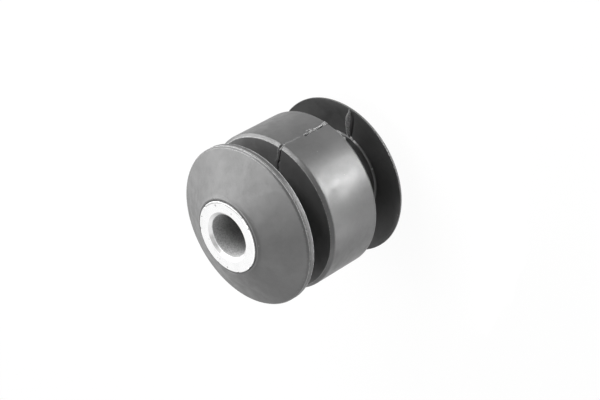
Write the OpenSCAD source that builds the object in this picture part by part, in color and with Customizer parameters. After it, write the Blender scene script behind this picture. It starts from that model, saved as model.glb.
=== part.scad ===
// Rubber metal bush: a turned steel sleeve with one rubber moulding bonded round it.
// It stands on the lower end of the sleeve, with the origin at the centre of that end.
// +Z runs up the bore. The parting plane of the mould is the XZ plane.

/* [Inner sleeve] */
// Length of the sleeve from end to end
sleeve_len = 50; // [46:0.5:70]
// Outside diameter of the sleeve
sleeve_od = 20; // [17:0.5:22]
// Diameter of the bore, for an M12 bolt
bore_d = 12.2; // [8.2:0.1:13.2]
// Width of the lead-in chamfer at each end of the bore
bore_chamfer = 0.85; // [0.4:0.05:1.6]
// Edge break round the outside of each sleeve end
sleeve_edge = 0.25; // [0.1:0.05:0.5]

/* [Drum] */
// Diameter of the drum that is squeezed into the eye
drum_d = 44.4; // [36:0.2:50]
// Width of the drum between its two end walls
drum_w = 17.8; // [12:0.2:20]
// Length of the drum's edge chamfer along the axis
drum_chamfer_z = 0.9; // [0.3:0.1:2]
// Depth of the drum's edge chamfer towards the axis
drum_chamfer_r = 0.8; // [0.3:0.1:2]

/* [Grooves] */
// Width of the upper groove where it opens at the rim
groove_w = 7.1; // [6:0.1:8.5]
// Width of the lower groove where it opens at the rim, which is wider
lower_groove_w = 8.6; // [7:0.1:9.2]
// Diameter of the groove floor
groove_d = 24.8; // [23.6:0.2:30]
// Fillet between the groove floor and the drum
groove_fillet = 1; // [0.3:0.1:3]
// Radius of the moulded bead between the groove floor and the flange
bead_r = 0.45; // [0.2:0.05:1]

/* [Flanges] */
// Diameter of both flanges
flange_d = 45; // [40:0.5:54]
// Thickness of the upper flange at its rim
rim_t = 2; // [1.6:0.1:3]
// Thickness of the lower flange at its rim, which is thinner
lower_rim_t = 0.9; // [0.8:0.1:1.6]
// Rounding of the rim's outer corner
rim_corner = 0.7; // [0.4:0.1:0.9]
// Rounding of the rim's inner corner
rim_inner_corner = 0.2; // [0.1:0.05:0.3]
// How far in from the rim the hollow side of a flange bends
lip_w = 2.2; // [1:0.1:3]
// How far that bend lies beyond the inner edge of the upper rim
lip_rise = 2.6; // [1:0.1:2.8]
// How far the groove floor reaches beyond the inner edge of the upper rim
root_rise = 2.8; // [1:0.1:3]

/* [Hubs] */
// How far each sleeve end stands proud of the rubber
hub_setback = 0.4; // [0.1:0.1:1]
// Width of the flat rubber ring round the sleeve end
hub_ring_w = 0.6; // [0.5:0.1:1.8]
// Height of the hub above the cone of the flange face
hub_rise = 0.2; // [0.1:0.1:1.2]
// Radius of the hollow sweep from the flange face up to the hub
hub_sweep_r = 5; // [2:0.5:10]

/* [Mould flash] */
// Thickness of the flash along the parting line
flash_t = 0.35; // [0.2:0.05:0.6]
// Height of the flash on the drum
drum_flash_h = 0.28; // [0.1:0.02:0.3]
// Height of the flash web across each groove's flange wall
web_h = 1.4; // [0.5:0.1:1.8]
// Width of the nick where the flash was torn off the drum's upper edge
nick_w = 0.9; // [0.4:0.1:1.5]
// Width of the tear in the drum's upper wall at the groove floor
tear_wide = 0.8; // [0.4:0.1:1.2]
// Width of the same tear at the drum's edge
tear_narrow = 0.3; // [0.1:0.05:0.4]
// Depth of the tear
tear_depth = 0.4; // [0.2:0.1:1]

/* [Hidden] */
$fn = 120;

// Radii
sleeve_r = sleeve_od / 2;
bore_r = bore_d / 2;
drum_r = drum_d / 2;
groove_r = groove_d / 2;
flange_r = flange_d / 2;
hub_r = sleeve_r + hub_ring_w;

// Heights above the middle plane of the bush
drum_z = drum_w / 2;
rim_in_z = drum_z + groove_w;
rim_out_z = rim_in_z + rim_t;
lower_rim_in_z = drum_z + lower_groove_w;
lower_rim_out_z = lower_rim_in_z + lower_rim_t;
root_z = rim_in_z + root_rise;
hub_z = sleeve_len / 2 - hub_setback;

// Points that bend the hollow side of a flange
lip_bend = [flange_r - lip_w, rim_in_z + lip_rise];
lip_end = [groove_r, root_z];
bead_end_a = 360 + atan2(lip_bend[1] - root_z, lip_bend[0] - groove_r);
bead_end = lip_end + bead_r * [cos(bead_end_a), sin(bead_end_a)];

// Points on an arc about c, from angle a0 to a1 in n steps
function arc(c, r, a0, a1, n) =
    [for (i = [0:n]) let (a = a0 + (a1 - a0) * i / n) c + r * [cos(a), sin(a)]];

// One point of the curve from p0 to p2 that bends towards p1
function bend_at(p0, p1, p2, t) = p0 * pow(1 - t, 2) + p1 * 2 * t * (1 - t) + p2 * t * t;

// Points along that curve in n steps
function bend(p0, p1, p2, n) = [for (i = [0:n]) bend_at(p0, p1, p2, i / n)];

// Where the hollow side of a flange meets the rounding of its rim, whose inner edge is in_z high
function lip_start(in_z) = [flange_r - rim_inner_corner, in_z];

// Slope of the conical face of a flange whose rim is out_z high, down from the foot of the hub
function face_a(out_z) = atan((hub_z - hub_rise - out_z) / (flange_r - hub_r));

// Height at which the rounded rim corner starts on the rim's land
function corner_z(out_z) =
    let (a = face_a(out_z)) out_z + rim_corner * ((1 - sin(a)) * tan(a) - cos(a));

// Points of the hollow sweep from the face of a flange up to the hub's edge
function hub_sweep(out_z) =
    let (
        a = face_a(out_z),
        rise = hub_rise * cos(a),
        reach = sqrt(rise * (2 * hub_sweep_r - rise)),
        foot = [hub_r - rise * sin(a), hub_z - rise * cos(a)],
        centre = foot + reach * [cos(a), -sin(a)] + hub_sweep_r * [sin(a), cos(a)],
        end_a = 360 + atan2(hub_z - centre[1], hub_r - centre[0])
    )
    arc(centre, hub_sweep_r, 270 - a, end_a, 8);

// Half outline of the rubber as radius and height above the middle plane, from the drum over the groove
// and the flange to the sleeve. The rim of the flange runs from in_z to out_z.
function rubber_half(in_z, out_z) = concat(
    [[drum_r, drum_z - drum_chamfer_z], [drum_r - drum_chamfer_r, drum_z]],
    arc([groove_r + groove_fillet, drum_z + groove_fillet], groove_fillet, 270, 180, 6),
    arc(lip_end, bead_r, 270, bead_end_a, 6),
    bend(bead_end, lip_bend, lip_start(in_z), 10),
    arc(lip_start(in_z) + [0, rim_inner_corner], rim_inner_corner, 290, 360, 3),
    arc([flange_r - rim_corner, corner_z(out_z)], rim_corner, 0, 90 - face_a(out_z), 8),
    hub_sweep(out_z),
    [[sleeve_r, hub_z]]
);

function flip(points) = [for (i = [len(points) - 1:-1:0]) [points[i][0], -points[i][1]]];

module rubber_solid() {
    upper = rubber_half(rim_in_z, rim_out_z);
    lower = flip(rubber_half(lower_rim_in_z, lower_rim_out_z));
    rotate_extrude() polygon(concat(upper, lower));
}

// A thin upright sheet in the parting plane, outlined by radius and height
module parting_sheet(outline) {
    translate([0, flash_t / 2, 0])
        rotate([90, 0, 0])
            linear_extrude(height = flash_t) polygon(outline);
}

// Flash along the drum: it starts low on the upper half and ends on the lower chamfer
module drum_flash() {
    root_r = drum_r - drum_chamfer_r;
    parting_sheet([
        [root_r, 0.7 * drum_z],
        [drum_r + drum_flash_h * 0.4, 0.25 * drum_z],
        [drum_r + drum_flash_h, -0.1 * drum_z],
        [drum_r + drum_flash_h, -drum_z + drum_chamfer_z],
        [root_r + drum_flash_h, -drum_z + drum_chamfer_z / 9],
        [root_r - drum_flash_h, -drum_z + drum_chamfer_z / 3]
    ]);
}

// Lens of flash that stands on the hollow side of a flange, with its ends sunk in the rubber
module flange_web(in_z) {
    steps = 8;
    inside = [for (i = [0:steps]) bend_at(bead_end, lip_bend, lip_start(in_z), i / steps)];
    buried = [for (p = inside) p + [0, rim_corner / 2]];
    crest = [for (i = [steps - 1:-1:1]) inside[i] - [0, web_h * sin(180 * pow(i / steps, 0.7))]];
    parting_sheet(concat(buried, crest));
}

// Half-round nick across the chamfer on the drum's upper edge
module torn_nick() {
    slope = atan2(drum_chamfer_r, drum_chamfer_z);
    run = norm([drum_chamfer_r, drum_chamfer_z]);
    translate([drum_r - drum_chamfer_r / 2, 0, drum_z - drum_chamfer_z / 2])
        rotate([0, -slope, 0])
            cylinder(h = 2 * run, d = nick_w, center = true, $fn = 32);
}

// Tapering tear down the drum's upper wall
module wall_tear() {
    foot_r = groove_r + groove_fillet / 2;
    translate([0, 0, drum_z - tear_depth])
        linear_extrude(height = 2 * tear_depth)
            polygon([
                [foot_r, -tear_wide / 2],
                [drum_r, -tear_narrow / 2],
                [drum_r, tear_narrow / 2],
                [foot_r, tear_wide / 2]
            ]);
}

// Half outline of the sleeve wall as radius and height above the lower end, up to the middle
function sleeve_half() = [
    [bore_r, bore_chamfer],
    [bore_r + bore_chamfer, 0],
    [sleeve_r - sleeve_edge, 0],
    [sleeve_r, sleeve_edge]
];

module inner_sleeve() {
    lower = sleeve_half();
    upper = [for (p = flip(lower)) p + [0, sleeve_len]];
    color("gainsboro")
        rotate_extrude() polygon(concat(lower, upper));
}

module rubber_body() {
    color("dimgray")
        translate([0, 0, sleeve_len / 2])
            difference() {
                union() {
                    rubber_solid();
                    for (side = [0, 180])
                        rotate([0, 0, side]) {
                            drum_flash();
                            flange_web(rim_in_z);
                            mirror([0, 0, 1]) flange_web(lower_rim_in_z);
                        }
                }
                torn_nick();
                wall_tear();
            }
}

inner_sleeve();
rubber_body();
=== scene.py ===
import math

import bmesh
import bpy
import numpy as np
from mathutils import Matrix, Vector


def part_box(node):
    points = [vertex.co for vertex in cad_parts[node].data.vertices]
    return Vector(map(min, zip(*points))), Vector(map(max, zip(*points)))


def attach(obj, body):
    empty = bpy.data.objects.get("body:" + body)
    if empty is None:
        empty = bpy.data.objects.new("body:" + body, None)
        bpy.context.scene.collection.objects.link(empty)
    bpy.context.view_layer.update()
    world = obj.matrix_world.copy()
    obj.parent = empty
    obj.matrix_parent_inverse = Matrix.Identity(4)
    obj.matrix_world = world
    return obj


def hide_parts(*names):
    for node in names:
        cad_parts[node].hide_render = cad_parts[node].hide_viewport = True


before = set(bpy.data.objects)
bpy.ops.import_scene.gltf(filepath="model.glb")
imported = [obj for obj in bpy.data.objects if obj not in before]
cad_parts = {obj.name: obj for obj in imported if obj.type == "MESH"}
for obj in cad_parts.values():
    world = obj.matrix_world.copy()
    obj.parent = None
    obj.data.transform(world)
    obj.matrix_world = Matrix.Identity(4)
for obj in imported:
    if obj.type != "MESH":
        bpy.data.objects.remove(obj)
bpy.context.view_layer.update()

# Sizes in metres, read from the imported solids
MM = 0.001
_, rubber_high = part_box("rubber_body")
sleeve_low, sleeve_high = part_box("inner_sleeve")
MIDDLE_Z = (sleeve_low.z + sleeve_high.z) / 2
HALF_SLEEVE = (sleeve_high.z - sleeve_low.z) / 2
SLEEVE_R = sleeve_high.x
FLANGE_R = min(rubber_high.x, rubber_high.y)
HUB_Z = rubber_high.z - MIDDLE_Z

# Sleeve, and the least and most depth and reach of the dents in its outer edges
BORE_R = 6.1 * MM
BORE_CHAMFER = 0.85 * MM
SLEEVE_EDGE = 0.25 * MM
DENTS = 11
DENT_DEPTH = (0.05 * MM, 0.17 * MM)
DENT_REACH = (0.25 * MM, 0.5 * MM)

# Drum
DRUM_R = 22.2 * MM
DRUM_Z = 8.9 * MM
DRUM_CHAMFER_Z = 0.9 * MM
DRUM_CHAMFER_R = 0.8 * MM
DRUM_EDGE = 0.3 * MM

# Grooves. A cone of this slant parts each groove from the face of its flange
GROOVE_W = 7.1 * MM
LOWER_GROOVE_W = 8.75 * MM
GROOVE_R = 12.4 * MM
GROOVE_FILLET = 1.0 * MM
GROOVE_SLANT = 0.3

# Bead behind each flange: boldest at the angle BEAD_START, it breaks off on one side and fades on the other
BEAD_R = 0.15 * MM
BEAD_SWELL = 0.9
BEAD_START = -0.18
BEAD_FADE = 0.16
BEAD_BREAK = 0.012

# Flanges. Their hollow side bends at a point LIP_W in from the rim and LIP_RISE beyond the upper rim
RIM_T = 2.0 * MM
LOWER_RIM_T = 0.75 * MM
RIM_CORNER_LOW = 0.35 * MM
RIM_CORNER_IN = 0.5 * MM
RIM_CORNER_EDGE = 0.14 * MM
RIM_INNER_CORNER = 0.2 * MM
LOWER_RIM_INNER_CORNER = 0.08 * MM
LIP_W = 2.2 * MM
LIP_RISE = 2.6 * MM
ROOT_RISE = 2.8 * MM
LOWER_ROOT_RISE = 3.15 * MM

# Faint unevenness of the flange faces, which sink a little to make room for it. The ripple turns by
# RIPPLE_TWIST radians in a metre of height
SWELL_H = 0.035 * MM
RIPPLE_H = 0.012 * MM
RIPPLE_TWIST = 60
FACE_SINK = 0.04 * MM
FACE_FADE = 2 * MM

# What the mould left round each rim: a ragged lip and, where the rim is thick, a fine groove or line
LIP_FLASH_H = 0.13 * MM
LIP_FLASH_W = 0.24 * MM
LOWER_LIP_SHARE = 0.35
LOWER_RIM_RUB = 0.35
MOULD_LINE_W = 0.26 * MM
MOULD_LINE_D = 0.17 * MM
MOULD_LINE_DROP = 0.8 * MOULD_LINE_W
LAND_R = FLANGE_R - LIP_FLASH_H

# Hubs. The rubber bends down to the sleeve at a fine gap, outlined in shares of the gap
HUB_RING_W = 0.6 * MM
HUB_RISE = 0.2 * MM
HUB_SWEEP_R = 5.0 * MM
HUB_GAP = 0.22 * MM
GAP_BEND = np.array([(0.6, -0.25), (0, -1.4)])

# Flash on the drum: bold below BOLD_TOP, faint above it. The seam drifts aside on the way down
FLASH_W = 0.38 * MM
DRUM_FLASH_H = 0.27 * MM
FAINT_FLASH_H = 0.02 * MM
FLASH_TOP = 1.4 * MM
FLASH_FOOT = 0.15 * MM
FLASH_SWAY = 0.09 * MM
BOLD_TOP = 0.9 * MM
BOLD_FADE = 0.5 * MM
SEAM_ASIDE = -0.42 * MM
SEAM_DRIFT = 7 * MM

# The band where the faint flash was wiped off the drum
BAND_WEAR = 0.59
BAND_W = 0.6 * MM
BAND_FOOT = 0.5 * MM
BAND_FADE = 1.5 * MM

# The crease along the bold flash
CREASE_ASIDE = -0.78 * MM
CREASE_W = 0.46 * MM
CREASE_D = 0.5 * MM
CREASE_FADE = 0.6 * MM
CREASE_WAVE = 0.9 * MM

# Torn strands of flash: seed, top, length, start and end beside the seam, and width
STRANDS = [
    (15, -5.6 * MM, 2.6 * MM, 0.1 * MM, 0.65 * MM, 0.26 * MM),
    (17, -1.0 * MM, 2.1 * MM, 0.8 * MM, 0.6 * MM, 0.2 * MM),
]
STRAND_H = 0.2 * MM
STRAND_SWAY = 0.05 * MM

# Burrs on the drum's lower edge: start and end in degrees from the parting line, and seed
BURRS = [(-15.5, -9, 41), (-19, -16.6, 42)]
BURR_H = 0.42 * MM
BURR_W = 0.3 * MM

# Webs of flash on the hollow side of the flanges. WEB_LENS gives their height along the way out
WEB_H = 1.0 * MM
WEB_W = 0.5 * MM
WEB_LEAN = 0.6
WEB_FLARE = -0.3 * MM
WEB_LENS = [(0, 0.15), (0.06, 0.5), (0.15, 0.65), (0.3, 0.85), (0.5, 1), (0.64, 0.75), (0.78, 0.3), (1, 0.12)]

# The two creases beside each web: their depth, and the middle line and half width of each
WEB_CREASE_D = 0.55 * MM
WIDE_CREASE_ASIDE = -0.85 * MM
WIDE_CREASE_HALF = 0.65 * MM
NARROW_CREASE_ASIDE = 0.45 * MM
NARROW_CREASE_HALF = 0.25 * MM

# Places where the flash was torn off. TEAR_PATH gives mm beside the parting line along the way out, and
# TEAR_WIGGLE mm more or less
NICK_R = 0.45 * MM
TEAR_WIDE = 0.66 * MM
TEAR_NARROW = 0.3 * MM
TEAR_DEPTH = 0.45 * MM
TEAR_PATH = [
    (0, -0.5), (0.12, -0.5), (0.24, -0.4), (0.36, -0.1), (0.43, 0.04),
    (0.5, -0.46), (0.6, -0.42), (0.8, -0.36), (1, -0.3),
]
TEAR_WIGGLE = 0.06
TEAR_WIGGLE_TURN = 61
RIDGE_START = 0.45
RIDGE_ASIDE = 0.85 * MM
RIDGE_W = 0.13 * MM
RIDGE_H = 0.06 * MM
RIDGE_WEAR = 0.75

# Section of a fin of flash: shares of its width across, and of its height up. The sunk foot goes down by
# shares of the width
FIN_SECTION = np.array([
    (-0.5, -0.9), (-0.5, 0.0), (-0.3, 0.6), (-0.1, 1.0), (0.12, 1.0), (0.3, 0.6), (0.5, 0.0), (0.5, -0.9),
])

# Fineness of the turned meshes. Points nearer than SAME_POINT count as one
SEAM_STEPS = 36
ROUND_STEPS = 260
SEAM_REACH = math.radians(2.7)
SLEEVE_STEPS = 256
SAME_POINT = 0.01 * MM

# How far edge wear looks along an outline, and the rise over that reach that counts as sharp
WEAR_REACH = 0.25 * MM
SHARP_RISE = 0.35 * WEAR_REACH

# The camera's place in metres and its three turns
CAMERA_AT = Vector((0.28644, -0.22177, 0.31038))
CAMERA_AZIMUTH = math.radians(-37.6)
CAMERA_ELEVATION = math.radians(38.42)
CAMERA_ROLL = math.radians(-119.52)
LENS_MM = 103.98
SENSOR_MM = 36

# Lamps: name, azimuth and elevation in degrees, distance and size in metres, and power in watts
LAMPS = [
    ("low_back_lamp", 78, 15, 0.5, 0.3, 1.25),
    ("upper_back_lamp", 67, 62, 0.5, 0.3, 0.92),
    ("top_lamp", 120, 80, 0.5, 0.3, 0.73),
    ("back_lamp", 90, 40, 0.5, 0.3, 0.64),
    ("low_side_lamp", 110, 15, 0.5, 0.3, 0.3),
    ("side_lamp", 190, 50, 0.5, 0.3, 0.29),
    ("low_front_lamp", -130, 17, 0.5, 0.3, 0.21),
    ("small_lamp_left", 18, 36, 0.49, 0.12, 0.67),
    ("small_lamp_middle", 38, 30, 0.49, 0.12, 0.45),
    ("small_lamp_right", 55, 28, 0.49, 0.12, 0.4),
    ("small_lamp_low", 40, 12, 0.49, 0.12, 0.36),
    ("front_panel_low", -37, -30, 0.05, 0.02, 0.013),
    ("front_panel_low_side", -50, -30, 0.06, 0.02, 0.034),
    ("front_panel", -30, -22, 0.062, 0.03, 0.012),
    ("front_panel_middle", -62, -22, 0.062, 0.03, 0.008),
    ("front_panel_side", -85, -22, 0.062, 0.03, 0.006),
    ("front_panel_far_side", -100, -22, 0.062, 0.03, 0.006),
]

# Heights above the middle plane, or below it for the lower flange, the radius of the hubs and the way up
RIM_IN_Z = DRUM_Z + GROOVE_W
RIM_OUT_Z = RIM_IN_Z + RIM_T
LOWER_RIM_IN_Z = DRUM_Z + LOWER_GROOVE_W
LOWER_RIM_OUT_Z = LOWER_RIM_IN_Z + LOWER_RIM_T
ROOT_Z = RIM_IN_Z + ROOT_RISE
LOWER_ROOT_Z = RIM_IN_Z + LOWER_ROOT_RISE
HUB_R = SLEEVE_R + HUB_RING_W
UP = np.array([0, 0, 1])


def arc(centre, radius, start, end, steps):
    """Points on an arc about centre, with its angles in radians."""
    turn = np.linspace(start, end, steps + 1)
    return np.stack([centre[0] + radius * np.cos(turn), centre[1] + radius * np.sin(turn)], 1)


def straight(start, end, steps, crowded=0.0):
    """Points on a line. crowded above 0 draws them towards both ends."""
    share = np.linspace(0, 1, steps + 1)
    share = share + crowded * (0.5 - 0.5 * np.cos(np.pi * share) - share)
    return np.outer(1 - share, start) + np.outer(share, end)


def bend(start, pull, end, share):
    """Points on the curve from start to end that bends towards pull."""
    share = np.asarray(share)[:, None]
    return start * (1 - share) ** 2 + pull * 2 * share * (1 - share) + end * share**2


def toward(start, goal, reach):
    """The point that lies reach away from start on the way to goal."""
    way = np.subtract(goal, start)
    return start + way * reach / np.linalg.norm(way)


def rounded(before, corner, after, reach, steps):
    """Points that round off a corner, from reach before it to reach after it."""
    start = toward(corner, before, reach)
    end = toward(corner, after, reach)
    return bend(start, np.asarray(corner), end, np.linspace(0, 1, steps + 1))


def thinned(points):
    """The points without those that lie on the point before them."""
    apart = np.linalg.norm(np.diff(points, axis=0), axis=1) > SAME_POINT
    return points[np.concatenate([[True], apart])]


def ramp(value, start, full):
    """0 up to start, 1 from full on, and an even rise between them. full may lie below start."""
    return np.clip((value - start) / (full - start), 0, 1)


def hump(distance, reach):
    """1 at no distance and about a third at reach, on either side."""
    return np.exp(-((distance / reach) ** 2))


def trench(aside, half_width, steepness=1.0):
    """Share of its depth that a crease has beside its middle line. A steeper one has a flat floor."""
    return np.clip(steepness * (1 - np.abs(aside) / half_width), 0, 1)


def waves(angle, seed, lowest, highest):
    """A random ring of waves from about -1 to 1, with that many waves round the part."""
    dice = np.random.default_rng(seed)
    counts = np.unique(np.round(np.geomspace(lowest, highest, 9)))
    total = sum(np.cos(count * angle + dice.uniform(0, 2 * np.pi)) for count in counts)
    return total / math.sqrt(2 * len(counts))


def soft_noise(dice, count, width):
    """Random steps that run smoothly into each other, over more of them the wider it is."""
    window = np.hanning(width + 2)[1:-1] / math.sqrt(width)
    return np.convolve(dice.standard_normal(count + width - 1), window, "valid")


def roughness(dice, count, mean, vary, least, width=3):
    """Random shares of a full height round their mean, none less than least or more than 1."""
    return np.clip(mean + vary * soft_noise(dice, count, width), least, 1)


def turn_from(angle, place):
    """How far an angle lies from a place round the part, either way."""
    return np.abs((angle - place + math.pi) % (2 * math.pi) - math.pi)


def torn_side(angle):
    """Whether a point lies on the side of the parting line that was torn, which is at angle 0."""
    return np.cos(angle) > 0


def inner_corner(rim_z):
    """Rounding of the inner corner of the rim that is rim_z high."""
    return RIM_INNER_CORNER if rim_z == RIM_IN_Z else LOWER_RIM_INNER_CORNER


def root_z(rim_z):
    """Height of the bead behind the rim that is rim_z high."""
    return ROOT_Z if rim_z == RIM_IN_Z else LOWER_ROOT_Z


def hollow_side(rim_z):
    """The three points that bend the hollow side of a flange, and the way it leaves the bead."""
    pull = np.array([FLANGE_R - LIP_W, RIM_IN_Z + LIP_RISE])
    rim = np.array([LAND_R - inner_corner(rim_z), rim_z])
    root = np.array([GROOVE_R, root_z(rim_z)])
    leaves = math.atan2(pull[1] - root[1], pull[0] - root[0])
    bead = root + BEAD_R * np.array([math.cos(leaves), math.sin(leaves)])
    return bead, pull, rim, leaves


def drum_side(rim_z):
    """Outline of the drum and the groove floor up to the bead."""
    edge = np.array([DRUM_R, DRUM_Z - DRUM_CHAMFER_Z])
    inner = np.array([DRUM_R - DRUM_CHAMFER_R, DRUM_Z])
    fillet = np.array([GROOVE_R + GROOVE_FILLET, DRUM_Z + GROOVE_FILLET])
    foot = np.array([fillet[0], DRUM_Z])
    soft_edge = rounded((DRUM_R, 0), edge, inner, DRUM_EDGE, steps=6)
    soft_inner = rounded(edge, inner, foot, DRUM_EDGE / 2, steps=3)
    return [
        straight((DRUM_R, 0), soft_edge[0], steps=24, crowded=0.5),
        soft_edge,
        straight(soft_edge[-1], soft_inner[0], steps=3),
        soft_inner,
        straight(soft_inner[-1], foot, steps=25, crowded=0.5),
        arc(fillet, GROOVE_FILLET, 1.5 * math.pi, math.pi, steps=6),
        straight((GROOVE_R, fillet[1]), (GROOVE_R, root_z(rim_z) - BEAD_R), steps=9, crowded=0.6),
    ]


def rim_side(rim_z, out_z):
    """Outline of a flange from the bead to its face. Its rim has the mould lip and, if thick, the line."""
    bead, pull, rim, leaves = hollow_side(rim_z)
    slope = face_slope(out_z)
    corner = inner_corner(rim_z)
    lip_z = rim_z + corner
    lip_end_z = lip_z + LIP_FLASH_W
    low = np.array([LAND_R, out_z - RIM_CORNER_LOW])
    high = np.array([FLANGE_R - RIM_CORNER_IN, out_z + RIM_CORNER_IN * math.tan(slope)])
    line_z = low[1] - MOULD_LINE_DROP
    line = []
    if line_z - MOULD_LINE_W > lip_end_z:
        line = [
            straight((LAND_R, lip_end_z + 0.3 * LIP_FLASH_W), (LAND_R, line_z - MOULD_LINE_W / 2), steps=3),
            np.array([(LAND_R - MOULD_LINE_D, line_z), (LAND_R, line_z + MOULD_LINE_W / 2)]),
        ]
    up_face = high + (-math.cos(slope), math.sin(slope))
    soft_high = rounded(low, high, up_face, RIM_CORNER_EDGE, steps=4)
    return [
        arc((GROOVE_R, root_z(rim_z)), BEAD_R, -0.5 * math.pi, leaves, steps=7),
        bend(bead, pull, rim, np.linspace(0, 1, 21)),
        arc(rim + (0, corner), corner, -0.4 * math.pi, -0.1 * math.pi, steps=3),
        np.array([(LAND_R, lip_z), (LAND_R, lip_z + LIP_FLASH_W / 2), (LAND_R, lip_end_z)]),
        *line,
        rounded((LAND_R, rim_z), low, high, RIM_CORNER_EDGE / 2, steps=2),
        straight(toward(low, high, RIM_CORNER_EDGE), soft_high[0], steps=3),
        soft_high,
    ]


def face_slope(out_z):
    """Slope of the coned face of a flange whose rim is out_z high."""
    return math.atan2(HUB_Z - HUB_RISE - out_z, FLANGE_R - HUB_R)


def face_side(out_z):
    """Outline of the coned flange face over the hub to the sleeve."""
    slope = face_slope(out_z)
    up_face = np.array([math.sin(slope), math.cos(slope)])
    along_face = np.array([math.cos(slope), -math.sin(slope)])
    sweep_h = HUB_RISE * math.cos(slope)
    sweep_x = math.sqrt(sweep_h * (2 * HUB_SWEEP_R - sweep_h))
    sweep_start = np.array([HUB_R, HUB_Z]) - sweep_h * up_face + sweep_x * along_face
    sweep = sweep_start + HUB_SWEEP_R * up_face
    sweep_end = math.atan2(HUB_Z - sweep[1], HUB_R - sweep[0]) + 2 * math.pi
    corner_reach = RIM_CORNER_IN / math.cos(slope) + 1.2 * RIM_CORNER_EDGE
    return [
        straight(np.array([FLANGE_R, out_z]) - corner_reach * along_face, sweep_start, steps=20, crowded=0.5),
        arc(sweep, HUB_SWEEP_R, 1.5 * math.pi - slope, sweep_end, steps=5),
        straight((HUB_R, HUB_Z), (SLEEVE_R + HUB_GAP, HUB_Z), steps=2),
        np.array([SLEEVE_R, HUB_Z]) + HUB_GAP * GAP_BEND,
    ]


def rubber_half(rim_z, out_z):
    """Half outline of the rubber as (radius, height above the middle plane, share of the mould lip)."""
    points = thinned(np.concatenate(drum_side(rim_z) + rim_side(rim_z, out_z) + face_side(out_z)))
    crest_z = rim_z + inner_corner(rim_z) + LIP_FLASH_W / 2
    lip = (points[:, 0] > LAND_R - SAME_POINT) & (np.abs(points[:, 1] - crest_z) < SAME_POINT)
    return np.column_stack([points, lip])


def edge_wear(outline):
    """How far each point of a closed outline stands proud of its neighbours, up to 1 on a sharp edge."""
    closed = np.concatenate([outline, outline[:1]])[:, :2]
    along = np.concatenate([[0], np.cumsum(np.linalg.norm(np.diff(closed, axis=0), axis=1))])

    def at(way):
        """The points of the outline that lie that far along it."""
        return np.stack([np.interp(way % along[-1], along, column) for column in closed.T], 1)

    before = at(along[:-1] - WEAR_REACH)
    after = at(along[:-1] + WEAR_REACH)
    chord = after - before
    out = np.stack([chord[:, 1], -chord[:, 0]], 1) / np.linalg.norm(chord, axis=1)[:, None]
    proud = ((closed[:-1] - (before + after) / 2) * out).sum(1)
    return np.clip(proud / SHARP_RISE, 0, 1)


def seam_angles():
    """Angles round the part, close together at the parting line that was torn."""
    near = np.linspace(-SEAM_REACH, SEAM_REACH, SEAM_STEPS, endpoint=False)
    rest = np.linspace(SEAM_REACH, 2 * math.pi - SEAM_REACH, ROUND_STEPS, endpoint=False)
    return np.concatenate([near, rest])


def seam_offset(height):
    """How far the seam has drifted aside from the parting plane at a height on the drum."""
    return SEAM_ASIDE * ramp(height, DRUM_Z, DRUM_Z - SEAM_DRIFT)


def in_groove(radius, above):
    """Whether a point lies on the groove side of a flange, by its radius and height above the middle."""
    return above + GROOVE_SLANT * radius < RIM_OUT_Z + GROOVE_SLANT * FLANGE_R - 0.1 * MM


def on_drum(radius, height, angle, depth):
    """Whether a point lies on the torn side of the drum's outside, or less than depth below it."""
    return (radius > DRUM_R - depth) & (np.abs(height) < DRUM_Z) & torn_side(angle)


def beyond_drum(height):
    """Whether a height lies past the drum and the fillet at the foot of its wall."""
    return np.abs(height) > DRUM_Z + 2 * GROOVE_FILLET


def cut_nick(radius, height, angle):
    """Sinks a half-round nick across the chamfer on the drum's upper edge, at the parting line."""
    slope = math.atan2(DRUM_CHAMFER_R, DRUM_CHAMFER_Z)
    out = np.array([math.cos(slope), math.sin(slope)])
    middle = np.array([DRUM_R - DRUM_CHAMFER_R / 2, DRUM_Z - DRUM_CHAMFER_Z / 2])
    aside = radius * np.sin(angle)
    above = (radius - middle[0]) * out[0] + (height - middle[1]) * out[1]
    near = np.hypot(radius - middle[0], height - middle[1]) < 3 * NICK_R
    cut = near & torn_side(angle) & (np.hypot(aside, above) < NICK_R)
    sink = np.where(cut, above + np.sqrt(np.maximum(NICK_R**2 - aside**2, 0)), 0)
    return radius - sink * out[0], height - sink * out[1]


def cut_tear(radius, height, angle):
    """Sinks the ragged tear down the drum's upper wall. Also gives the wear on the thin ridge beside it."""
    foot = GROOVE_R + GROOVE_FILLET / 2
    share = ramp(radius, foot, DRUM_R)
    half = (TEAR_WIDE + (TEAR_NARROW - TEAR_WIDE) * share) / 2
    path = np.interp(share, *zip(*TEAR_PATH)) + TEAR_WIGGLE * np.sin(TEAR_WIGGLE_TURN * share)
    aside = radius * np.sin(angle) - MM * path
    wall = (np.abs(height - DRUM_Z) < DRUM_EDGE) & (radius > foot) & (radius < DRUM_R - DRUM_EDGE)
    ridge = hump(aside - RIDGE_ASIDE, RIDGE_W) * (share > RIDGE_START)
    torn = wall & torn_side(angle)
    sink = TEAR_DEPTH * trench(aside, half, steepness=1.4) - RIDGE_H * ridge
    return height - np.where(torn, sink, 0), torn * RIDGE_WEAR * ridge


def cut_crease(radius, height, angle):
    """Sinks the crease along the bold part of the flash on the drum, deeper and shallower by turns."""
    along = ramp(height, BOLD_TOP, BOLD_TOP - CREASE_FADE) * ramp(height, -DRUM_Z, CREASE_FADE - DRUM_Z)
    along = along * (0.65 + 0.35 * np.cos(height / CREASE_WAVE))
    across = trench(radius * np.sin(angle) - CREASE_ASIDE, CREASE_W / 2)
    drum = on_drum(radius, height, angle, depth=0.5 * MM)
    return radius - np.where(drum, CREASE_D * across * along, 0)


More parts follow.
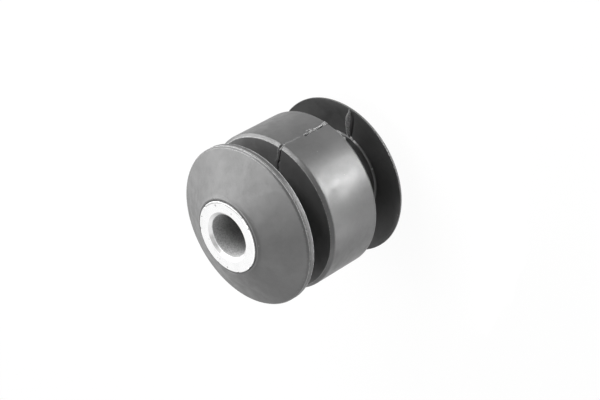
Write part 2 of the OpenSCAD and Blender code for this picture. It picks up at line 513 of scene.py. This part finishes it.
def cut_web_creases(radius, height, angle):
    """Sinks the two creases beside the foot of the web of flash on the hollow side of a flange."""
    aside = radius * np.sin(angle)
    wide = trench(aside - WIDE_CREASE_ASIDE, WIDE_CREASE_HALF, steepness=1.6)
    narrow = trench(aside - NARROW_CREASE_ASIDE, NARROW_CREASE_HALF)
    share = (radius - GROOVE_R) / (FLANGE_R - GROOVE_R)
    along = ramp(share, 0, 0.1) * ramp(share, 0.9, 0.65)
    hollow = in_groove(radius, np.abs(height)) & beyond_drum(height)
    depth = WEB_CREASE_D * np.maximum(wide, 0.6 * narrow) * along
    return height + np.where(hollow, np.sign(height) * depth, 0)


def seam_band(radius, height, angle):
    """Wear of the soft band where the faint part of the flash was wiped off the drum."""
    aside = radius * np.sin(angle) - seam_offset(height)
    drum = on_drum(radius, height, angle, depth=0.2 * MM)
    return BAND_WEAR * drum * ramp(height, BAND_FOOT, BAND_FOOT + BAND_FADE) * hump(aside, BAND_W)


def swell_face(radius, height, angle):
    """The height of the flange faces with their faint unevenness."""
    slow = waves(angle, seed=3, lowest=2, highest=9)
    quick = waves(angle + RIPPLE_TWIST * height, seed=5, lowest=10, highest=40)
    swell = SWELL_H * slow + RIPPLE_H * quick
    inside_rim = ramp(np.abs(height), RIM_OUT_Z, RIM_OUT_Z + FACE_FADE)
    face = inside_rim * ramp(radius, HUB_R, HUB_R + FACE_FADE)
    return height + np.sign(height) * face * (swell - FACE_SINK)


def lip_raggedness(angle, low):
    """How far the mould lip round a rim stands up, from 0 to 1: most of all near the torn parting line."""
    dice = np.random.default_rng(7)
    rough = roughness(dice, angle.shape[1], mean=0.55, vary=0.45, least=0, width=1)[None, :]
    near_seam = hump(turn_from(angle, 0.1), 0.5)
    strong = 0.25 + 0.75 * near_seam + 0.3 * low * waves(angle, seed=9, lowest=4, highest=20)
    return np.clip(rough * strong, 0.05, 1)


def swell_bead(radius, height, angle):
    """Swells the bead where it is bold. Also gives which points are on it, and how bold it is."""
    bead_z = np.where(height < 0, -LOWER_ROOT_Z, ROOT_Z)
    bead = np.hypot(radius - GROOVE_R, height - bead_z) < 1.1 * BEAD_R
    fade = np.where(np.sin(angle - BEAD_START) < 0, BEAD_FADE, BEAD_BREAK)
    bold = np.exp(-turn_from(angle, BEAD_START) / fade)
    grow = BEAD_SWELL * bead * bold
    return radius + grow * (radius - GROOVE_R), height + grow * (height - bead_z), bead, bold


def rim_rub(radius, height, angle):
    """What the wear is multiplied by: less on the lower rim, more on the upper one near the torn line."""
    rim = (radius > FLANGE_R - MM) & beyond_drum(height)
    upper = 1 + 0.25 * hump(turn_from(angle, 0.15), 0.4)
    return np.where(rim, np.where(height < 0, LOWER_RIM_RUB, upper), 1)


def shape_rubber(radius, height, angle, lip, wear):
    """Small unevenness of the moulding, its mould lips and its torn places, on the turned outline."""
    height = swell_face(radius, height, angle)
    ragged = lip_raggedness(angle, height < 0)
    radius = radius + LIP_FLASH_H * lip * ragged * np.where(height < 0, LOWER_LIP_SHARE, 1)
    radius, height, bead, bold = swell_bead(radius, height, angle)
    hub = (radius < HUB_R + 0.5 * MM) & (np.abs(height) > HUB_Z - MM)
    wear = np.maximum(wear, lip * (0.35 + 0.65 * ragged)) * rim_rub(radius, height, angle)
    wear = np.where(bead, 0.3 + 0.75 * bold, wear)
    band_wear = seam_band(radius, height, angle)
    radius = cut_crease(radius, height, angle)
    radius, height = cut_nick(radius, height, angle)
    height = cut_web_creases(radius, height, angle)
    height, ridge_wear = cut_tear(radius, height, angle)
    wear = np.maximum(np.maximum(wear, ridge_wear), band_wear)
    return radius, height, np.where(hub, 0, wear)


def turned_mesh(outline, angles, shape):
    """Vertices, faces and edge wear of a closed outline turned about Z. shape moves the points."""
    radius, angle = np.meshgrid(outline[:, 0], angles, indexing="ij")
    height = np.repeat(outline[:, 1:2], len(angles), axis=1)
    wear = np.repeat(edge_wear(outline)[:, None], len(angles), axis=1)
    lip = np.repeat(outline[:, 2:3], len(angles), axis=1)
    radius, height, wear = shape(radius, height, angle, lip, wear)
    points = np.stack([radius * np.cos(angle), radius * np.sin(angle), height + MIDDLE_Z], -1)
    rows, turns = radius.shape
    here = np.arange(rows * turns).reshape(rows, turns)
    up = np.roll(here, -1, 0)
    on = np.roll(here, -1, 1)
    faces = np.stack([here, on, np.roll(up, -1, 1), up], -1).reshape(-1, 4)
    return points.reshape(-1, 3), faces.tolist(), wear.reshape(-1)


def flash_strip(path, rise, side, heights, width, wear=1.0, lean=0.0):
    """A thin ragged fin on a path, sunk at its foot, closed at its ends and leaning to its side."""
    steps = len(path)
    count = len(FIN_SECTION)
    width = np.broadcast_to(width, steps)[:, None]
    across = FIN_SECTION[:, 0][None, :, None]
    up = FIN_SECTION[:, 1][None, :]
    lift = np.where(up > 0, up * heights[:, None], up * width)[..., None]
    rise, side = (np.broadcast_to(way, path.shape)[:, None] for way in (rise, side))
    points = path[:, None] + lift * rise + (across * width[..., None] + lean * np.maximum(lift, 0)) * side
    faces = []
    for step in range(steps - 1):
        for here in range(count):
            beside = (here + 1) % count
            corners = (step, here), (step, beside), (step + 1, beside), (step + 1, here)
            faces.append([row * count + place for row, place in corners])
    faces.append(list(range(count))[::-1])
    faces.append([(steps - 1) * count + place for place in range(count)])
    worn = np.multiply.outer(np.broadcast_to(wear, steps), np.clip(up[0], 0.6, 1))
    return points.reshape(-1, 3), faces, worn.reshape(-1)


def seam_frame(seam):
    """The way out from the axis at a parting line, and the way round from it."""
    return np.array([math.cos(seam), math.sin(seam), 0]), np.array([-math.sin(seam), math.cos(seam), 0])


def drum_flash(seam, seed):
    """The ragged line of flash along the lower part of the drum."""
    dice = np.random.default_rng(seed)
    steps = 110
    height = np.linspace(FLASH_TOP, -DRUM_Z + FLASH_FOOT, steps)
    radius = DRUM_R - DRUM_CHAMFER_R * ramp(height, -DRUM_Z + DRUM_CHAMFER_Z, -DRUM_Z)
    bold = ramp(height, BOLD_TOP, BOLD_TOP - BOLD_FADE)
    rough = roughness(dice, steps, mean=0.75, vary=0.6, least=0.3)
    tall = (FAINT_FLASH_H + (DRUM_FLASH_H - FAINT_FLASH_H) * bold) * rough
    to_end = np.minimum(np.arange(steps), steps - 1 - np.arange(steps))
    out, aside = seam_frame(seam)
    sway = seam_offset(height) + FLASH_SWAY * soft_noise(dice, steps, 7)
    path = radius[:, None] * out + sway[:, None] * aside + np.outer(height + MIDDLE_Z, UP)
    width = FLASH_W * (0.65 + 0.4 * rough)
    return flash_strip(path, out, aside, tall * ramp(to_end, 0, 4), width, wear=0.5 + 0.55 * bold * rough)


def flash_strand(seam, seed, top, length, start, end, width):
    """A short strand of flash that splits off the drum's seam sideways, from start to end beside it."""
    dice = np.random.default_rng(seed)
    steps = 24
    share = np.linspace(0, 1, steps)
    out, aside = seam_frame(seam)
    off = SEAM_ASIDE + start + (end - start) * share**1.3 + STRAND_SWAY * soft_noise(dice, steps, 5)
    path = DRUM_R * out + off[:, None] * aside + np.outer(top - length * share + MIDDLE_Z, UP)
    rough = roughness(dice, steps, mean=0.8, vary=0.5, least=0.3)
    tall = STRAND_H * np.sin(np.pi * share**0.7) * rough
    return flash_strip(path, out, aside, tall, width, wear=0.9)


def flange_web(seam, side, rim_z, seed):
    """The lens of flash that stands on the hollow side of a flange. side is 1 for the upper flange."""
    dice = np.random.default_rng(seed)
    bead, pull, rim, _ = hollow_side(rim_z)
    share = np.linspace(0.0, 0.985, 60)
    inside = bend(bead, pull, rim, share)
    tall = WEB_H * np.interp(share, *zip(*WEB_LENS)) * (1 + 0.05 * soft_noise(dice, len(share), 3))
    out, aside = seam_frame(seam)
    flare = WEB_FLARE * ramp(share, 0.25, 0) ** 2
    path = inside[:, :1] * out + flare[:, None] * aside
    path = path + np.outer(MIDDLE_Z + side * inside[:, 1], UP)
    tall = np.maximum(tall, FAINT_FLASH_H)
    return flash_strip(path, -side * UP, aside, tall, WEB_W, wear=1.25, lean=WEB_LEAN)


def edge_burr(start, end, seed):
    """Ragged shreds of rubber that hang on the drum's lower edge beside the parting line."""
    dice = np.random.default_rng(seed)
    steps = 40
    turn = np.linspace(start, end, steps)
    out = np.stack([np.cos(turn), np.sin(turn), 0 * turn], 1)
    path_z = MIDDLE_Z - DRUM_Z + 0.35 * DRUM_CHAMFER_Z
    path = (DRUM_R - 0.55 * DRUM_CHAMFER_R) * out + path_z * UP
    off_chamfer = 0.7 * (out - UP)
    up_chamfer = 0.7 * (out + UP)
    rough = roughness(dice, steps, mean=0.6, vary=0.7, least=0.1, width=5)
    tall = BURR_H * rough * np.sin(np.pi * np.linspace(0, 1, steps))
    return flash_strip(path, off_chamfer, up_chamfer, tall, BURR_W, wear=0.85)


def rubber_mesh():
    """The turned moulding without the fins of flash."""
    upper = rubber_half(RIM_IN_Z, RIM_OUT_Z)
    lower = rubber_half(LOWER_RIM_IN_Z, LOWER_RIM_OUT_Z)[::-1] * (1, -1, 1)
    return turned_mesh(np.concatenate([lower[:-1], upper]), seam_angles(), shape_rubber)


def sleeve_outline():
    """The wall of the sleeve as (radius, height above the middle plane, 0), all the way round."""
    end = HALF_SLEEVE
    mouth = np.array([BORE_R + BORE_CHAMFER, end])
    throat = np.array([BORE_R, end - BORE_CHAMFER])
    upper = thinned(np.concatenate([
        straight((SLEEVE_R, 0), (SLEEVE_R, end - 1.2 * MM), steps=3),
        arc((SLEEVE_R - SLEEVE_EDGE, end - SLEEVE_EDGE), SLEEVE_EDGE, 0, math.pi / 2, steps=5),
        straight((SLEEVE_R - SLEEVE_EDGE, end), mouth, steps=12, crowded=0.5),
        straight(mouth, throat, steps=4),
        straight(throat, (BORE_R, 0), steps=14, crowded=0.4),
    ]))
    lower = upper[::-1][1:-1] * (1, -1)
    outline = np.concatenate([upper, lower])
    return np.column_stack([outline, np.zeros(len(outline))])


def shape_sleeve(radius, height, angle, lip, wear):
    """Small dents that handling left on the outer edges of the sleeve's ends. It has no mould lip."""
    dice = np.random.default_rng(31)
    edge = (radius > SLEEVE_R - 2 * SLEEVE_EDGE) & (np.abs(height) > HALF_SLEEVE - 2 * SLEEVE_EDGE)
    dent = 0 * radius
    for place in dice.uniform(0, 2 * math.pi, DENTS):
        depth = dice.uniform(*DENT_DEPTH)
        reach = dice.uniform(*DENT_REACH)
        dent += depth * hump(turn_from(angle, place) * SLEEVE_R, reach)
    dent = np.where(edge, dent, 0)
    return radius - dent, height - np.sign(height) * 0.5 * dent, wear


def sleeve_mesh():
    """The turned wall of the sleeve."""
    angles = np.linspace(0, 2 * math.pi, SLEEVE_STEPS, endpoint=False)
    return turned_mesh(sleeve_outline(), angles, shape_sleeve)


def new_piece(name, parts, material, sharp=None):
    """One smooth mesh object from several closed shells, with its edge wear as an attribute."""
    points, faces, worn = [], [], []
    for part_points, part_faces, part_wear in parts:
        start = len(points)
        points.extend(part_points.tolist())
        faces.extend([start + corner for corner in face] for face in part_faces)
        worn.extend(part_wear.tolist())
    mesh = bpy.data.meshes.new(name)
    mesh.from_pydata(points, [], faces)
    shell = bmesh.new()
    shell.from_mesh(mesh)
    bmesh.ops.recalc_face_normals(shell, faces=shell.faces)
    shell.to_mesh(mesh)
    shell.free()
    mesh.attributes.new("wear", "FLOAT", "POINT").data.foreach_set("value", worn)
    mesh.shade_smooth()
    if sharp:
        mesh.set_sharp_from_angle(angle=sharp)
    mesh.materials.append(material)
    piece = bpy.data.objects.new(name, mesh)
    bpy.context.scene.collection.objects.link(piece)
    return piece


def add_node(tree, kind, inputs=None, **settings):
    """A new node. An input is a plain value, or the output socket that feeds it."""
    node = tree.nodes.new(kind)
    for name, value in settings.items():
        setattr(node, name, value)
    for name, value in (inputs or {}).items():
        if isinstance(value, bpy.types.NodeSocket):
            tree.links.new(value, node.inputs[name])
        else:
            node.inputs[name].default_value = value
    return node


def calc(tree, operation, first, second=0.0):
    """The result of a sum on two values or sockets."""
    return add_node(tree, "ShaderNodeMath", {0: first, 1: second}, operation=operation).outputs["Value"]


def on_vectors(tree, operation, first, second=(0, 0, 0), result="Vector"):
    """The result of a sum on two vectors or sockets."""
    inputs = {0: first, 1: second}
    return add_node(tree, "ShaderNodeVectorMath", inputs, operation=operation).outputs[result]


def spread(tree, value, low, high, to_low=0.0, to_high=1.0):
    """A value from low to high, turned evenly into one from to_low to to_high and held there."""
    limits = {"Value": value, "From Min": low, "From Max": high, "To Min": to_low, "To Max": to_high}
    return add_node(tree, "ShaderNodeMapRange", limits).outputs["Result"]


def noise(tree, place, scale, detail=2.0):
    """The outputs of a cloudy noise at a place on the object."""
    return add_node(tree, "ShaderNodeTexNoise", {"Vector": place, "Scale": scale, "Detail": detail}).outputs


def grey(value):
    """A plain grey of that linear value."""
    return (value, value, value, 1)


def lay(tree, colour, over, mask, strength=1.0):
    """The colour with another laid over it where the mask is 1. Each is a plain colour or a socket."""
    if strength < 1:
        mask = calc(tree, "MULTIPLY", mask, strength)
    mix = add_node(tree, "ShaderNodeMix", {"Factor": mask}, data_type="RGBA")
    for name, value in (("A_Color", colour), ("B_Color", over)):
        place = next(socket for socket in mix.inputs if socket.identifier == name)
        if isinstance(value, bpy.types.NodeSocket):
            tree.links.new(value, place)
        else:
            place.default_value = value
    return next(socket for socket in mix.outputs if socket.identifier == "Result_Color")


def layered(tree, colour, layers):
    """The colour under its layers from the lowest up: each one's colour, mask and strength."""
    for over, mask, strength in layers:
        colour = lay(tree, colour, over, mask, strength)
    return colour


def object_place(tree):
    """Where a point lies on the object itself."""
    return add_node(tree, "ShaderNodeTexCoord").outputs["Object"]


def turned_place(tree):
    """Where a point lies on a turned piece: flat place, radius, height and distance from the middle plane."""
    place = object_place(tree)
    flat = on_vectors(tree, "MULTIPLY", place, (1, 1, 0))
    radius = on_vectors(tree, "LENGTH", flat, result="Value")
    height = add_node(tree, "ShaderNodeSeparateXYZ", {"Vector": place}).outputs["Z"]
    above = calc(tree, "ABSOLUTE", calc(tree, "SUBTRACT", height, MIDDLE_Z))
    return flat, radius, height, above


def new_group(name, inputs, output):
    """An empty effect with named inputs and one named output, and its input and output nodes."""
    tree = bpy.data.node_groups.new(name, "ShaderNodeTree")
    for label, value in inputs.items():
        tree.interface.new_socket(label, in_out="INPUT", socket_type="NodeSocketFloat").default_value = value
    tree.interface.new_socket(output, in_out="OUTPUT", socket_type="NodeSocketFloat")
    return tree, add_node(tree, "NodeGroupInput").outputs, add_node(tree, "NodeGroupOutput")


def uneven_tone():
    """Soft cloudy patches."""
    tree, given, out = new_group("uneven tone", {"Scale": 200.0, "Low": 0.4, "High": 0.6}, "Tone")
    cloud = noise(tree, object_place(tree), given["Scale"], 4.0)
    tree.links.new(spread(tree, cloud["Fac"], given["Low"], given["High"]), out.inputs["Tone"])
    return tree


def worn_edges():
    """Where edges are rubbed, broken up by a fine noise."""
    tree, given, out = new_group("worn edges", {"Start": 0.3, "Full": 0.9, "Break Scale": 1500.0}, "Worn")
    wear = add_node(tree, "ShaderNodeAttribute", attribute_name="wear").outputs["Fac"]
    broken = noise(tree, object_place(tree), given["Break Scale"], 3.0)
    uneven = calc(tree, "MULTIPLY", wear, spread(tree, broken["Fac"], 0.3, 0.7, 0.65, 1.2))
    tree.links.new(spread(tree, uneven, given["Start"], given["Full"]), out.inputs["Worn"])
    return tree


def small_flecks():
    """Scattered specks of bent outline, of which Share is the part of the cells that hold one."""
    tree, given, out = new_group("small flecks", {"Scale": 700.0, "Size": 0.2, "Share": 0.1}, "Flecks")
    place = object_place(tree)
    bent = noise(tree, place, calc(tree, "MULTIPLY", given["Scale"], 3.0))
    shift = on_vectors(tree, "MULTIPLY", bent["Color"], (0.4 * MM, 0.4 * MM, 0.4 * MM))
    moved = on_vectors(tree, "ADD", place, shift)
    cells = add_node(tree, "ShaderNodeTexVoronoi", {"Vector": moved, "Scale": given["Scale"]}).outputs
    dice = add_node(tree, "ShaderNodeSeparateColor", {"Color": cells["Color"]}).outputs
    chosen = calc(tree, "LESS_THAN", dice["Red"], given["Share"])
    size = calc(tree, "MULTIPLY", given["Size"], dice["Green"])
    inside = spread(tree, calc(tree, "SUBTRACT", size, cells["Distance"]), 0.0, 0.06)
    tree.links.new(calc(tree, "MULTIPLY", inside, chosen), out.inputs["Flecks"])
    return tree


def fine_grain():
    """The height of a fine surface grain on a slower swell."""
    sizes = {"Grain Scale": 5000.0, "Swell Scale": 250.0, "Swell": 0.5}
    tree, given, out = new_group("fine grain", sizes, "Height")
    place = object_place(tree)
    grain = noise(tree, place, given["Grain Scale"])
    swell = noise(tree, place, given["Swell Scale"], 1.0)
    slow = calc(tree, "MULTIPLY", swell["Fac"], given["Swell"])
    tree.links.new(calc(tree, "ADD", grain["Fac"], slow), out.inputs["Height"])
    return tree


def effect(tree, group, **values):
    """One effect placed in a material with its own values."""
    node = add_node(tree, "ShaderNodeGroup", node_tree=group)
    for name, value in values.items():
        node.inputs[name.replace("_", " ")].default_value = value
    return node.outputs[0]


def side_of(tree, flat, radius, angle, reach):
    """1 on the side of a turned piece that lies at angle, softly down to 0 at reach degrees from it."""
    way = (math.cos(math.radians(angle)), math.sin(math.radians(angle)), 0)
    along = on_vectors(tree, "DOT_PRODUCT", flat, way, result="Value")
    limit = math.cos(math.radians(reach))
    return spread(tree, calc(tree, "DIVIDE", along, radius), limit, 0.4 * limit + 0.6)


def empty_tree(owner):
    """The node tree of a new material or world, with nothing in it."""
    owner.use_nodes = True
    owner.node_tree.nodes.clear()
    return owner.node_tree


def new_material(name):
    """A material, its node tree and its Principled shader, which feeds the output."""
    material = bpy.data.materials.new(name)
    tree = empty_tree(material)
    surface = add_node(tree, "ShaderNodeBsdfPrincipled")
    add_node(tree, "ShaderNodeOutputMaterial", {"Surface": surface.outputs["BSDF"]})
    return material, tree, surface


def roughen(tree, surface, height, strength, distance):
    """Lets a height roughen the shader's surface by a bump."""
    bump = add_node(tree, "ShaderNodeBump", {"Strength": strength, "Distance": distance, "Height": height})
    tree.links.new(bump.outputs["Normal"], surface.inputs["Normal"])


def groove_masks(tree):
    """Masks of the two grooves of the rubber, of the drum's upper wall and of the lower groove."""
    _, radius, height, above = turned_place(tree)
    sunk = calc(tree, "ADD", above, calc(tree, "MULTIPLY", radius, GROOVE_SLANT))
    limit = RIM_OUT_Z + GROOVE_SLANT * FLANGE_R
    inside = spread(tree, sunk, limit - 0.3 * MM, limit - 0.1 * MM, 1.0, 0.0)
    past_drum = spread(tree, above, DRUM_Z - 0.05 * MM, DRUM_Z + 0.05 * MM)
    grooves = calc(tree, "MULTIPLY", inside, past_drum)
    upper = calc(tree, "GREATER_THAN", height, MIDDLE_Z)
    near_wall = spread(tree, above, DRUM_Z + 0.5 * GROOVE_FILLET, DRUM_Z + 2 * GROOVE_FILLET, 1.0, 0.0)
    wall = calc(tree, "MULTIPLY", calc(tree, "MULTIPLY", grooves, upper), near_wall)
    return grooves, wall, calc(tree, "MULTIPLY", grooves, calc(tree, "SUBTRACT", 1.0, upper))


def moulded_rubber(effects):
    """Dark rubber with cloudy patches, rubbed edges and dust. Painted light lightens the drum's wall in the
    upper groove, and painted shade darkens the lower groove.
    """
    material, tree, surface = new_material("moulded black rubber")
    patches = effect(tree, effects["tone"], Scale=170.0, Low=0.35, High=0.65)
    mottle = effect(tree, effects["tone"], Scale=1100.0, Low=0.3, High=0.7)
    sheen = effect(tree, effects["tone"], Scale=420.0, Low=0.38, High=0.64)
    worn = effect(tree, effects["worn"], Start=0.45, Full=1.15, Break_Scale=2600.0)
    dust = effect(tree, effects["flecks"], Scale=520.0, Size=0.17, Share=0.08)
    grooves, painted_light_upper_wall, painted_shade_lower_groove = groove_masks(tree)
    colour = layered(tree, grey(0.032), [
        (grey(0.044), patches, 1.0),
        (grey(0.058), mottle, 0.35),
        # Painted light: the drum's wall in the upper groove is lightened to stand in for light that the lamps
        # don't bring there
        (grey(0.13), painted_light_upper_wall, 0.8),
        # Painted shade: the lower groove is darkened
        (grey(0.014), painted_shade_lower_groove, 0.75),
        (grey(0.42), worn, 1.0),
        (grey(0.35), dust, 0.5),
    ])
    tree.links.new(colour, surface.inputs["Base Color"])
    polish = spread(tree, sheen, 0.0, 1.0, to_low=0.36, to_high=0.47)
    polish = calc(tree, "SUBTRACT", polish, calc(tree, "MULTIPLY", grooves, 0.02))
    polish = calc(tree, "ADD", polish, calc(tree, "MULTIPLY", worn, 0.12))
    tree.links.new(polish, surface.inputs["Roughness"])
    surface.inputs["Specular IOR Level"].default_value = 0.9
    height = effect(tree, effects["grain"], Grain_Scale=4200.0, Swell_Scale=260.0, Swell=3.0)
    roughen(tree, surface, height, strength=0.6, distance=0.03 * MM)
    return material


def turned_steel(effects):
    """Bright steel with marks of the turning tool and specks. Its dull edges are darkened as painted shade,
    and the bore chamfer has a darker streak and painted shade on one side. The bore darkens with depth as
    painted shade.
    """
    material, tree, surface = new_material("bright turned steel")
    flat, radius, height, above = turned_place(tree)
    in_bore = spread(tree, radius, BORE_R + 0.05 * MM, BORE_R + 0.2 * MM, 1.0, 0.0)
    depth = spread(tree, above, HALF_SLEEVE - BORE_CHAMFER, HALF_SLEEVE - 7 * MM)
    on_chamfer = calc(tree, "LESS_THAN", radius, BORE_R + BORE_CHAMFER)
    # Marks of the turning tool run round the sleeve: with the radius on its ends, with the height on its side
    travel = calc(tree, "MULTIPLY", calc(tree, "ADD", radius, height), 1.0 / (0.14 * MM))
    cuts = {"W": travel, "Scale": 1.0, "Detail": 2.0}
    marks = add_node(tree, "ShaderNodeTexNoise", cuts, noise_dimensions="1D").outputs["Fac"]
    smudge = effect(tree, effects["tone"], Scale=260.0, Low=0.45, High=0.75)
    streaks = effect(tree, effects["tone"], Scale=900.0, Low=0.5, High=0.66)
    worn = effect(tree, effects["worn"], Start=0.5, Full=1.1, Break_Scale=2600.0)
    specks = effect(tree, effects["flecks"], Scale=1100.0, Size=0.42, Share=0.16)
    pits = effect(tree, effects["tone"], Scale=2600.0, Low=0.42, High=0.62)
    # A darker streak across the bore chamfer on the side about 145 degrees round
    dark_chamfer_streak = calc(tree, "MULTIPLY", side_of(tree, flat, radius, 145, 30), on_chamfer)
    dark_chamfer_streak = calc(tree, "MULTIPLY", dark_chamfer_streak, spread(tree, streaks, 0.0, 1.0, 0.75, 1.0))
    # The outer edge of the sleeve's ends is dull and rougher, and its colour is darkened as painted shade,
    # over a wider band on the side about 25 degrees round
    painted_shade_side = side_of(tree, flat, radius, 25, 55)
    edge = calc(tree, "ADD", radius, calc(tree, "MULTIPLY", painted_shade_side, 0.45 * MM))
    dull_edge_painted_shade = spread(tree, edge, SLEEVE_R - 0.25 * MM, SLEEVE_R - 0.05 * MM)
    # The bore chamfer's colour, darkened as painted shade over the side about -155 degrees round, where it
    # catches the lamps most
    chamfer_tone_and_painted_shade = lay(tree, grey(0.5), grey(0.36), side_of(tree, flat, radius, -155, 75))
    # Painted shade: the bore's colour darkens with depth
    bore_tone_and_painted_shade = lay(tree, grey(0.8), grey(0.32), depth)
    speckled = spread(tree, radius, SLEEVE_R - 1.6 * MM, SLEEVE_R - 0.4 * MM, to_low=0.25, to_high=0.9)
    colour = layered(tree, grey(0.93), [
        (grey(0.86), smudge, 1.0),
        (grey(0.72), marks, 0.25),
        (grey(0.08), dark_chamfer_streak, 1.0),
        (grey(0.26), dull_edge_painted_shade, 0.9),
        (chamfer_tone_and_painted_shade, on_chamfer, 0.65),
        (bore_tone_and_painted_shade, in_bore, 1.0),
        (grey(0.12), calc(tree, "MULTIPLY", pits, in_bore), 0.4),
        (grey(0.1), calc(tree, "MULTIPLY", specks, speckled), 1.0),
        (grey(0.9), worn, 0.4),
    ])
    tree.links.new(colour, surface.inputs["Base Color"])
    tree.links.new(spread(tree, in_bore, 0.0, 1.0, to_low=1.0, to_high=0.35), surface.inputs["Metallic"])
    polish = spread(tree, marks, 0.3, 0.7, to_low=0.2, to_high=0.28)
    for mask, duller in ((in_bore, 0.15), (on_chamfer, 0.22), (dull_edge_painted_shade, 0.4)):
        polish = calc(tree, "ADD", polish, calc(tree, "MULTIPLY", mask, duller))
    tree.links.new(polish, surface.inputs["Roughness"])
    grain = effect(tree, effects["grain"], Grain_Scale=6000.0, Swell_Scale=500.0, Swell=0.6)
    rough = calc(tree, "ADD", marks, calc(tree, "MULTIPLY", grain, 0.5))
    roughen(tree, surface, rough, strength=0.5, distance=0.006 * MM)
    return material


def rubber_parts():
    """The shells of the rubber: the turned moulding, then all its fins of flash."""
    parts = [rubber_mesh()]
    for number, seam in enumerate((0, math.pi)):
        parts.append(drum_flash(seam, 11 + number))
        for seed, *strand in STRANDS:
            parts.append(flash_strand(seam, seed + number, *strand))
        for side, rim_z in ((1, RIM_IN_Z), (-1, LOWER_RIM_IN_Z)):
            parts.append(flange_web(seam, side, rim_z, 21 + 2 * number + side))
    for start, end, seed in BURRS:
        parts.append(edge_burr(math.radians(start), math.radians(end), seed))
    return parts


def dress_part():
    """The two pieces with their materials, in place of their plain solids."""
    effects = {"tone": uneven_tone(), "worn": worn_edges(), "flecks": small_flecks(), "grain": fine_grain()}
    rubber = new_piece("rubber_moulding", rubber_parts(), moulded_rubber(effects))
    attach(rubber, "root")
    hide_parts("rubber_body")
    sleeve = new_piece("steel_sleeve", [sleeve_mesh()], turned_steel(effects), sharp=math.radians(35))
    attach(sleeve, "root")
    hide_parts("inner_sleeve")


def direction(azimuth, elevation):
    """The way that lies at two angles in radians: round from +X, and up from level."""
    level = math.cos(elevation)
    return Vector((level * math.cos(azimuth), level * math.sin(azimuth), math.sin(elevation)))


def camera_basis():
    """Right, up and back of the camera. It is rolled, so that the upright part lies as in the photograph."""
    back = direction(CAMERA_AZIMUTH, CAMERA_ELEVATION)
    level = Vector((0, 0, 1)).cross(back).normalized()
    upright = back.cross(level)
    right = level * math.cos(CAMERA_ROLL) + upright * math.sin(CAMERA_ROLL)
    up = upright * math.cos(CAMERA_ROLL) - level * math.sin(CAMERA_ROLL)
    return right, up, back


def place_camera():
    """The photograph's camera."""
    data = bpy.data.cameras.new("camera")
    data.lens = LENS_MM
    data.sensor_width = SENSOR_MM
    data.clip_start = 0.01
    data.clip_end = 20
    camera = bpy.data.objects.new("camera", data)
    bpy.context.scene.collection.objects.link(camera)
    turn = Matrix(camera_basis()).transposed().to_4x4()
    camera.matrix_world = Matrix.Translation(CAMERA_AT) @ turn
    bpy.context.scene.camera = camera


def place_lamp(name, azimuth, elevation, distance, size, power):
    """A square soft lamp that faces the middle of the part. The camera doesn't see it."""
    data = bpy.data.lights.new(name, "AREA")
    data.shape = "SQUARE"
    data.size = size
    data.energy = power
    lamp = bpy.data.objects.new(name, data)
    bpy.context.scene.collection.objects.link(lamp)
    away = direction(math.radians(azimuth), math.radians(elevation))
    lamp.location = Vector((0, 0, MIDDLE_Z)) + away * distance
    lamp.rotation_mode = "QUATERNION"
    lamp.rotation_quaternion = away.to_track_quat("Z", "Y")
    lamp.visible_camera = False


def seen_directly(tree):
    """1 where the camera, gloss or glass looks, and 0 for other light."""
    path = add_node(tree, "ShaderNodeLightPath").outputs
    seen = path["Is Camera Ray"]
    for name in ("Is Glossy Ray", "Is Transmission Ray"):
        both = add_node(tree, "ShaderNodeMath", {0: seen, 1: path[name]}, operation="ADD", use_clamp=True)
        seen = both.outputs["Value"]
    return seen


def light_room():
    """A white studio that is seen and mirrored, but sheds no light of its own."""
    world = bpy.data.worlds.new("white studio")
    tree = empty_tree(world)
    glow = add_node(tree, "ShaderNodeBackground", {"Color": grey(1.0), "Strength": seen_directly(tree)})
    add_node(tree, "ShaderNodeOutputWorld", {"Surface": glow.outputs["Background"]})
    bpy.context.scene.world = world


def lay_floor(half=4.0, gap=0.05 * MM):
    """A pale floor just under the part, which looks nearly white and keeps a faint shadow."""
    mesh = bpy.data.meshes.new("pale_floor")
    corners = [(-half, -half, 0), (half, -half, 0), (half, half, 0), (-half, half, 0)]
    mesh.from_pydata(corners, [], [(0, 1, 2, 3)])
    floor = bpy.data.objects.new("pale_floor", mesh)
    floor.location.z = sleeve_low.z - gap
    bpy.context.scene.collection.objects.link(floor)
    material = bpy.data.materials.new("pale floor")
    tree = empty_tree(material)
    matt = add_node(tree, "ShaderNodeBsdfDiffuse", {"Color": grey(0.9)}).outputs["BSDF"]
    glow = add_node(tree, "ShaderNodeEmission", {"Color": grey(1.0)}).outputs["Emission"]
    glow_share = calc(tree, "MULTIPLY", seen_directly(tree), 0.95)
    blend = add_node(tree, "ShaderNodeMixShader", {"Fac": glow_share, 1: matt, 2: glow})
    add_node(tree, "ShaderNodeOutputMaterial", {"Surface": blend.outputs["Shader"]})
    mesh.materials.append(material)


dress_part()
place_camera()
for lamp in LAMPS:
    place_lamp(*lamp)
light_room()
lay_floor()
bpy.context.scene.view_settings.view_transform = "Standard"
